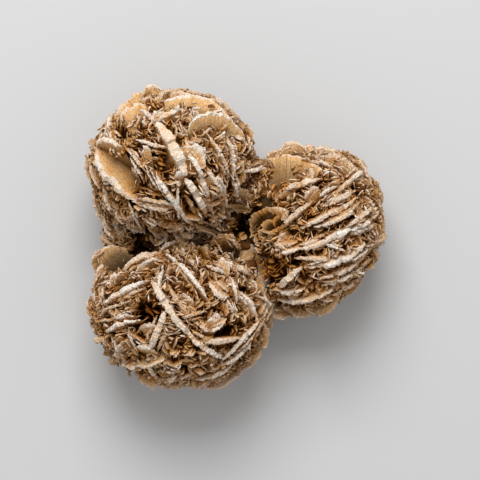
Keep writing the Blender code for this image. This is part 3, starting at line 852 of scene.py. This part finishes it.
def stacks(rosette, others, rims, count, lengths, depths, edges, chance):
    """Small blades in fanned stacks, all over a rosette and down in its hollows."""
    shade = SHADE_BETWEEN if rosette.name == BETWEEN else 0.0
    for direction in golden_directions(count):
        jitter = Vector(chance.uniform(-PLACE_JITTER, PLACE_JITTER) for _ in range(3))
        direction = (direction + jitter).normalized()
        place = on_skin(rosette, direction, 0.0)
        if is_bare(place, chance.uniform(*BARE_ROOM)) or buried(others, place):
            continue
        depth = chance.uniform(*depths) + CLUMP_DEPTH * lumps(np.array(place), CLUMP)
        if direction.z > 0.0:
            depth += hollows_at(np.array([place]))[0] * chance.uniform(*INTO_HOLLOW)
        steep = steepness(direction)
        grow = (direction + Vector((0.0, 0.0, SIDE_LIFT * steep))).normalized()
        stray = Vector(chance.gauss(0.0, GRAIN_STRAY) for _ in range(3))
        grain = (Vector(rosette.grain).normalized() + stray).normalized()
        run = grain.cross(direction).normalized()
        across = run.cross(direction).normalized()
        tilt = chance.gauss(0.0, TILT)
        fan = chance.uniform(-FAN, FAN)
        size = chance.uniform(*lengths)
        pitch = chance.uniform(*PITCH)
        for step in range(chance.randint(1, MOST_IN_STACK)):
            length = size * chance.uniform(*STACK_LENGTHS)
            angle = tilt + fan * step + chance.gauss(0.0, BLADE_TILT)
            tip = grow * math.cos(angle) + across * math.sin(angle)
            sway = Vector(chance.gauss(0.0, HEADING_STRAY) for _ in range(3))
            heading = (run + sway).normalized()
            rise = length * chance.uniform(*RISE)
            least = rise + (steep * SIDE_SINK - MOST_PROUD) * MM
            middle = place - direction * (max(depth, least) + chance.uniform(*DEPTH_STRAY))
            middle += across * pitch * step + run * length * chance.uniform(-SLIDE, SLIDE)
            if near_rim(rims, middle):
                middle -= direction * RIM_ROOM * 2.0
            if middle.z < LEAST_HEIGHT:
                continue
            half = heading * length / 2.0
            crest = middle + tip * rise + half * chance.uniform(-0.5, 0.5)
            edge = chance.uniform(*edges)
            reach = length * chance.uniform(*REACH)
            rim = (middle - half, crest, middle + half)
            yield Blade(*rim, edge, reach, Vector(), Vector(), SMALL_RIM_WORN, SMALL_LIP, shade)


# Materials

CREAM = (0.735, 0.675, 0.605, 1.0)
PEACH = (0.755, 0.59, 0.465, 1.0)
# the warm tint of low rims: partly a sand stain, partly painted warm shade on the shaded lower sides
STAIN_AND_WARM_SHADE = (0.72, 0.48, 0.30, 1.0)
HONEY = (0.66, 0.40, 0.175, 1.0)
BROWN = (0.54, 0.225, 0.04, 1.0)
UMBER = (0.33, 0.08, 0.005, 1.0)
WET_SAND = (0.05, 0.016, 0.003, 1.0)
DRY_SAND = (0.17, 0.06, 0.013, 1.0)
LOOSE_SAND = (0.24, 0.095, 0.025, 1.0)
STAIN_AND_SHADE_HEIGHTS = (12.0 * MM, 34.0 * MM)  # rims are warmer below the first height, partly a sand stain and partly painted warm shade, and keep their own colour above the other


NODE_STEP = 200.0  # how far apart nodes are laid out
NODES_IN_ROW = 8


class Finish:
    """A material, with the nodes that it is made up of."""

    def __init__(self, name, gloss):
        self.material = bpy.data.materials.new(name)
        self.material.use_nodes = True
        self.tree = self.material.node_tree
        self.surface = self.tree.nodes["Principled BSDF"].inputs
        self.give(self.surface["Specular IOR Level"], gloss)

    def give(self, socket, value):
        """Sets an input, or links it where the value comes from another node."""
        if isinstance(value, (tuple, float)):
            socket.default_value = value
        else:
            self.tree.links.new(value, socket)

    def node(self, kind, **settings):
        """A new node, laid out in rows to the left of the surface."""
        row, column = divmod(len(self.tree.nodes), NODES_IN_ROW)
        made = self.tree.nodes.new(kind)
        made.location = (-NODE_STEP * (column + 1), -NODE_STEP * row)
        for name, value in settings.items():
            setattr(made, name, value)
        return made

    def places(self):
        return self.node("ShaderNodeTexCoord").outputs["Object"]

    def stored(self, name, output="Fac"):
        """What each piece stores at its points under that name."""
        return self.node("ShaderNodeAttribute", attribute_name=name).outputs[output]

    def parts(self, vector):
        made = self.node("ShaderNodeSeparateXYZ")
        self.give(made.inputs["Vector"], vector)
        return made.outputs

    def noise(self, vector, scale, detail):
        made = self.node("ShaderNodeTexNoise")
        for name, value in (("Vector", vector), ("Scale", scale), ("Detail", detail)):
            self.give(made.inputs[name], value)
        return made.outputs["Fac"]

    def ranged(self, value, low, high, new_low=0.0, new_high=1.0):
        """The value, with low and high moved to their new places and nothing beyond them."""
        made = self.node("ShaderNodeMapRange")
        self.give(made.inputs["Value"], value)
        self.give(made.inputs["From Min"], low)
        self.give(made.inputs["From Max"], high)
        self.give(made.inputs["To Min"], new_low)
        self.give(made.inputs["To Max"], new_high)
        return made.outputs["Result"]

    def mixed(self, share, first, second, blend="MIX"):
        """The first colour, with that share of the second."""
        made = self.node("ShaderNodeMix", data_type="RGBA", blend_type=blend)
        for name, value in (("Factor", share), ("A", first), ("B", second)):
            self.give(next(s for s in made.inputs if s.name == name and s.enabled), value)
        return next(s for s in made.outputs if s.enabled)

    def worked(self, operation, first, second):
        made = self.node("ShaderNodeMath", operation=operation)
        self.give(made.inputs[0], first)
        self.give(made.inputs[1], second)
        return made.outputs["Value"]

    def plus(self, first, second):
        return self.worked("ADD", first, second)

    def times(self, *values):
        return functools.reduce(lambda first, second: self.worked("MULTIPLY", first, second), values)

    def relief(self, height, strength, distance):
        made = self.node("ShaderNodeBump")
        for name, value in (("Height", height), ("Strength", strength), ("Distance", distance)):
            self.give(made.inputs[name], value)
        self.give(self.surface["Normal"], made.outputs["Normal"])


def gypsum_material():
    """Pale worn rims, honey faces, and brown where a blade runs deep, partly from the sand inside it
    and partly painted shade. It reads what each piece stores: how far a point lies along its blade,
    from its rim with any painted shade added as extra distance, and below the rosette's surface, all
    in millimetres, and the tint of its blade."""
    finish = Finish("sandy gypsum", 0.06)
    where = finish.places()
    run, from_rim, deep = finish.parts(finish.stored("crystal", "Vector"))
    tint = finish.stored("tint")

    # where rims are worn pale, and how deep each point lies
    frayed = finish.ranged(finish.noise(where, 900.0, 3.0), 0.3, 0.7, -0.35, 0.35)
    unworn = finish.ranged(tint, 0.0, 0.45, 1.5, 0.0)
    pale = finish.ranged(finish.plus(finish.plus(from_rim, frayed), unworn), 0.7, 1.1, 1.0, 0.0)
    uneven = finish.ranged(finish.noise(where, 260.0, 3.0), 0.3, 0.7, -0.8, 0.8)
    depth = finish.plus(deep, uneven)
    exposed = finish.ranged(depth, -0.9, 0.9, 1.0, 0.12)
    rubbed = finish.ranged(tint, 0.0, 0.9, 0.35, 1.0)
    dust = finish.ranged(finish.noise(where, 1700.0, 2.0), 0.55, 0.75, 0.0, 0.5)
    worn = finish.worked("MAXIMUM", finish.times(pale, exposed, rubbed), dust)

    # colour
    cream = finish.mixed(finish.ranged(tint, 0.5, 0.95), PEACH, CREAM)
    # low rims take a sand stain and painted warm shade
    above_stain_and_shade = finish.ranged(finish.parts(where)["Z"], *STAIN_AND_SHADE_HEIGHTS, 0.15, 1.0)
    cream = finish.mixed(above_stain_and_shade, STAIN_AND_WARM_SHADE, cream)
    colour = finish.mixed(worn, HONEY, cream)
    # browner and then darker the deeper a point lies: partly the sand inside the crystal, partly
    # painted shade in the hollows
    colour = finish.mixed(finish.ranged(depth, 0.0, 2.2), colour, BROWN)
    colour = finish.mixed(finish.ranged(depth, 1.8, 4.2), colour, UMBER)

    # light and dark: grains and whole blades vary in tone, and painted shade darkens hollows and
    # faces away from their rims
    speck = finish.noise(where, 2400.0, 3.0)
    grainy = finish.ranged(speck, 0.3, 0.7, 0.70, 1.22)
    lighter = finish.ranged(tint, 0.0, 1.0, 0.78, 1.12)
    # painted shade: darker deep in the hollows and on faces further from their rims
    in_shadow = finish.ranged(depth, 1.8, 4.6, 1.0, 0.2)
    away = finish.ranged(from_rim, 0.9, 8.0, 1.0, 0.1)
    light = finish.times(grainy, lighter, in_shadow, away)
    finish.give(finish.surface["Base Color"], finish.mixed(1.0, colour, light, "MULTIPLY"))
    finish.give(finish.surface["Roughness"], finish.ranged(pale, 0.0, 1.0, 0.55, 0.85))

    # grooves that run from the rim down each blade, deepest at the rim
    stripes = finish.node("ShaderNodeCombineXYZ")
    for axis, value, closeness in (("X", run, 1.3), ("Y", from_rim, 0.25), ("Z", tint, 60.0)):
        finish.give(stripes.inputs[axis], finish.times(value, closeness))
    groove = finish.noise(stripes.outputs["Vector"], 1.0, 3.0)
    groove = finish.times(groove, finish.ranged(pale, 0.0, 1.0, 0.1, 1.0))
    finish.relief(finish.plus(groove, speck), 0.9, 0.3 * MM)
    return finish.material


def core_material():
    """The packed sand and crystal between the blades, with painted shade that darkens it deep in the
    hollows.
    """
    finish = Finish("packed sand", 0.1)
    where = finish.places()
    grain = finish.noise(where, 1400.0, 4.0)
    packed = finish.mixed(finish.ranged(grain, 0.3, 0.7), WET_SAND, DRY_SAND)
    looser = finish.ranged(finish.noise(where, 300.0, 3.0), 0.35, 0.75)
    colour = finish.mixed(looser, packed, LOOSE_SAND)
    # painted shade: the deeper the sand lies in a hollow, the darker it is, down to near black
    light = finish.ranged(finish.stored("sunk"), 0.8, 4.5, 1.0, 0.06)
    finish.give(finish.surface["Base Color"], finish.mixed(1.0, colour, light, "MULTIPLY"))
    finish.give(finish.surface["Roughness"], 0.8)
    finish.relief(grain, 1.0, 0.25 * MM)
    return finish.material


def floor_material():
    finish = Finish("pale floor", 0.5)
    finish.give(finish.surface["Base Color"], FLOOR_GREY)
    finish.give(finish.surface["Roughness"], 0.9)
    return finish.material


# Pieces

CORE_SHARE = 0.80  # a core's radii, as a share of its rosette's
CORE_LUMPS = ((0.9 * MM, 2.6 * MM), (0.5 * MM, 1.1 * MM), (0.25 * MM, 0.6 * MM))
ASIDE = 10.0 * MM  # how far apart its lumps are in the random values
ROSETTE_CUTS = 6  # how finely the core of a rosette is cut up
MASS_CUTS = 5
MASS_HOLLOWED_FROM = -0.6  # a mass is hollowed above this share of its radius, and a rosette above 0


def core_piece(rosettes, name, material):
    """The lumpy middles of some rosettes, joined in one piece."""
    points = []
    depths = []
    faces = []
    count = 0
    for rosette in rosettes:
        is_mass = rosette.name == BETWEEN
        bpy.ops.object.select_all(action="DESELECT")
        cuts = MASS_CUTS if is_mass else ROSETTE_CUTS
        bpy.ops.mesh.primitive_ico_sphere_add(subdivisions=cuts, radius=1.0)
        ball = bpy.context.active_object
        own = np.array([vert.co for vert in ball.data.vertices])
        faces += [tuple(i + count for i in face.vertices) for face in ball.data.polygons]
        bpy.data.objects.remove(ball)
        outward = own / np.linalg.norm(own, axis=1)[:, None]
        turn = math.radians(rosette.turn)
        first_axis = (math.cos(turn), math.sin(turn), 0)
        second_axis = (-math.sin(turn), math.cos(turn), 0)
        turn_by = np.array((first_axis, second_axis, (0, 0, 1)))
        placed = (own * rosette.radii * CORE_SHARE) @ turn_by + np.array(middle_of(rosette))
        outward = outward @ turn_by
        lift = layered(CORE_LUMPS, placed, placed + ASIDE, placed + 2.0 * ASIDE)
        on_upper_side = own[:, 2] > (MASS_HOLLOWED_FROM if is_mass else 0.0)
        sunk = hollows_at(placed) * on_upper_side
        placed = placed + outward * (lift - sunk)[:, None]
        placed[:, 2] = np.maximum(placed[:, 2], 0.0)
        points.append(placed)
        # how deep each point lies in a hollow, kept for the painted shade of the sand
        depths.append(np.maximum(sunk, hollows_at(placed) * on_upper_side))
        count += len(placed)
    data = bpy.data.meshes.new(name)
    data.from_pydata(np.concatenate(points).tolist(), [], faces)
    stored = data.attributes.new("sunk", "FLOAT", "POINT")
    stored.data.foreach_set("value", np.concatenate(depths) / MM)
    data.materials.append(material)
    made = bpy.data.objects.new(name, data)
    bpy.context.scene.collection.objects.link(made)
    return made


def finish_piece(piece):
    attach(piece, "root")
    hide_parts("sand_rose")


WINDOW_PLACE = (-0.06, 0.44, 0.60)
WINDOW_AIM = (0.0, 0.0, 0.02)
WINDOW_SIZE = 0.42
WINDOW_POWER = 5.2
WINDOW_WHITE = (1.0, 0.985, 0.96)
ROOM_WHITE = (1.0, 0.985, 0.965, 1.0)
ROOM_LIGHT = 0.53
FLOOR_GREY = (0.565, 0.576, 0.593, 1.0)
FLOOR_SIZE = 1.6
LENS = 250.0
SENSOR = 36.0
VIEW_STEPS = 480  # how many plan steps the camera sees across
FOCUS_HEIGHT = 22.0 * MM  # the height at which it sees exactly that much


def add_area(name, place, aim, size, power, colour):
    light = bpy.data.lights.new(name, "AREA")
    light.energy = power
    light.size = size
    light.color = colour
    made = bpy.data.objects.new(name, light)
    made.location = place
    made.rotation_euler = (Vector(aim) - Vector(place)).to_track_quat("-Z", "Y").to_euler()
    bpy.context.scene.collection.objects.link(made)


def light_and_floor():
    bpy.ops.object.select_all(action="DESELECT")
    bpy.ops.mesh.primitive_plane_add(size=FLOOR_SIZE)
    floor = bpy.context.active_object
    floor.name = "floor"
    floor.data.materials.append(floor_material())
    floor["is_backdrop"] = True
    world = bpy.data.worlds.new("soft room")
    world.use_nodes = True
    room = world.node_tree.nodes["Background"]
    room.inputs["Color"].default_value = ROOM_WHITE
    room.inputs["Strength"].default_value = ROOM_LIGHT
    bpy.context.scene.world = world
    add_area("window", WINDOW_PLACE, WINDOW_AIM, WINDOW_SIZE, WINDOW_POWER, WINDOW_WHITE)
    bpy.context.scene.view_settings.view_transform = "Standard"


def add_camera():
    """Straight above the rose, far away through a long lens."""
    away = VIEW_STEPS * PLAN_STEP * LENS / SENSOR
    eye = at_plan((VIEW_STEPS / 2, VIEW_STEPS / 2), FOCUS_HEIGHT + away)
    camera = bpy.data.cameras.new("camera")
    camera.lens = LENS
    camera.sensor_width = SENSOR
    made = bpy.data.objects.new("camera", camera)
    made.location = eye
    bpy.context.scene.collection.objects.link(made)
    bpy.context.scene.camera = made


# The kinds of piece that each rosette has: the least and most tint of its blades, how many times
# further from its rim a point counts as when it is coloured, how deep its blades can lie and still
# look worn and how fast they then darken, how fast they darken away from their own rims, and the
# sharpest angle that its shading runs over, in degrees.
Kind = namedtuple("Kind", "tints rim_scale deep_from deep_scale body angle")
KINDS = {
    "plates": Kind((0.9, 1.0), 1.2, 1.0, 0.2, 0.08, 30.0),
    "shells": Kind((0.7, 1.0), 3.0, 0.3, 0.8, 0.3, 30.0),
    "ledges": Kind((0.7, 1.0), 1.0, 0.6, 0.7, 0.25, 15.0),
    "chips": Kind((0.3, 1.0), 1.4, 0.3, 0.8, 0.4, 15.0),
    "broad_blades": Kind((0.1, 1.0), 2.6, 0.3, 0.9, 1.4, 12.0),
    "small_blades": Kind((0.1, 1.0), 3.0, 0.6, 1.0, 1.8, 5.0),
    "deep_blades": Kind((0.1, 0.95), 3.0, 0.7, 1.0, 1.8, 5.0),
}


def size_for(blade):
    span = (blade.end - blade.start).length
    if span > LONG_SPAN:
        return "long"
    return "medium" if span > MEDIUM_SPAN else "short"


def blades_of(rosette, rims, chips, fine, others, share):
    """Every blade of a rosette, with the kind of piece that it belongs to and its master."""
    chance = random.Random(f"{rosette.name} {rosette.u}")
    rims = rims + list(rims_on(rosette, fine))
    laid = [blade_from(rosette, *rim) for rim in rims]
    upright = [blade for blade in laid if blade.lean.length == 0.0]
    leaning = [blade for blade in laid if blade.lean.length > 0.0]
    lesser = [blade_from(rosette, *rim) for rim in chips if not is_bare(rim[0][1])]
    lesser += [beside(blade, chance) for blade in upright for _ in range(chance.choice(NEIGHBOURS))]
    lesser += [beside(blade, chance) for blade in list(lesser) if chance.random() < NEIGHBOUR_SHARE]
    shells = [blade for blade in leaning if blade.edge < SHELL_EDGE]
    plates = [blade for blade in leaning if blade.edge >= SHELL_EDGE]
    large = {"plates": plates, "shells": shells, "ledges": upright, "chips": lesser}
    for kind, blades in large.items():
        for blade in blades:
            yield kind, size_for(blade), blade
    places = rim_places(rims)
    for kind, master, count, *sizes in STACKS:
        for blade in stacks(rosette, others, places, round(count * share), *sizes, chance):
            yield kind, master, blade


def main():
    masters = {name: blade_master(name, *cuts) for name, cuts in MASTERS.items()}
    gypsum = gypsum_material()
    sand = core_material()
    rosettes = [
        (UPPER, UPPER_LEDGES, UPPER_FINE, 1.0),
        (LOWER, LOWER_LEDGES, LOWER_FINE, 1.0),
        (RIGHT, RIGHT_LEDGES, RIGHT_FINE, RIGHT_SHARE),
    ]
    rosettes += [(mass, (), plates, MASS_SHARE) for mass, plates in zip(MASSES, BETWEEN_FINE)]
    chance = random.Random(LEDGE_SEED)
    laid_out = []
    for rosette, ledges, fine, share in rosettes:
        rims = list(rims_on(rosette, ledges))
        others = [other[0] for other in rosettes if other[0] is not rosette]
        chips = list(chips_on(rosette, rims, others, chance))
        laid_out.append((rosette, rims, chips, fine, others, share))
    heaps = {}
    for rosette, rims, chips, fine, others, share in laid_out:
        for kind, master, blade in blades_of(rosette, rims, chips, fine, others, share):
            name = f"{kind}_{rosette.name}"
            if name not in heaps:
                heaps[name] = Heap(name, KINDS[kind])
            heaps[name].add(master, blade, rosette)
    pieces = [heap.piece(masters, gypsum) for heap in heaps.values()]
    for rosette in (UPPER, LOWER, RIGHT):
        pieces.append(core_piece([rosette], f"core_{rosette.name}", sand))
    pieces.append(core_piece(MASSES, f"core_{BETWEEN}", sand))
    for piece in pieces:
        finish_piece(piece)
    light_and_floor()
    add_camera()


main()
boxes = {"cad": CAD_BOX, "visual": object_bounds()}
{name: [list(corner) for corner in box] for name, box in boxes.items()}
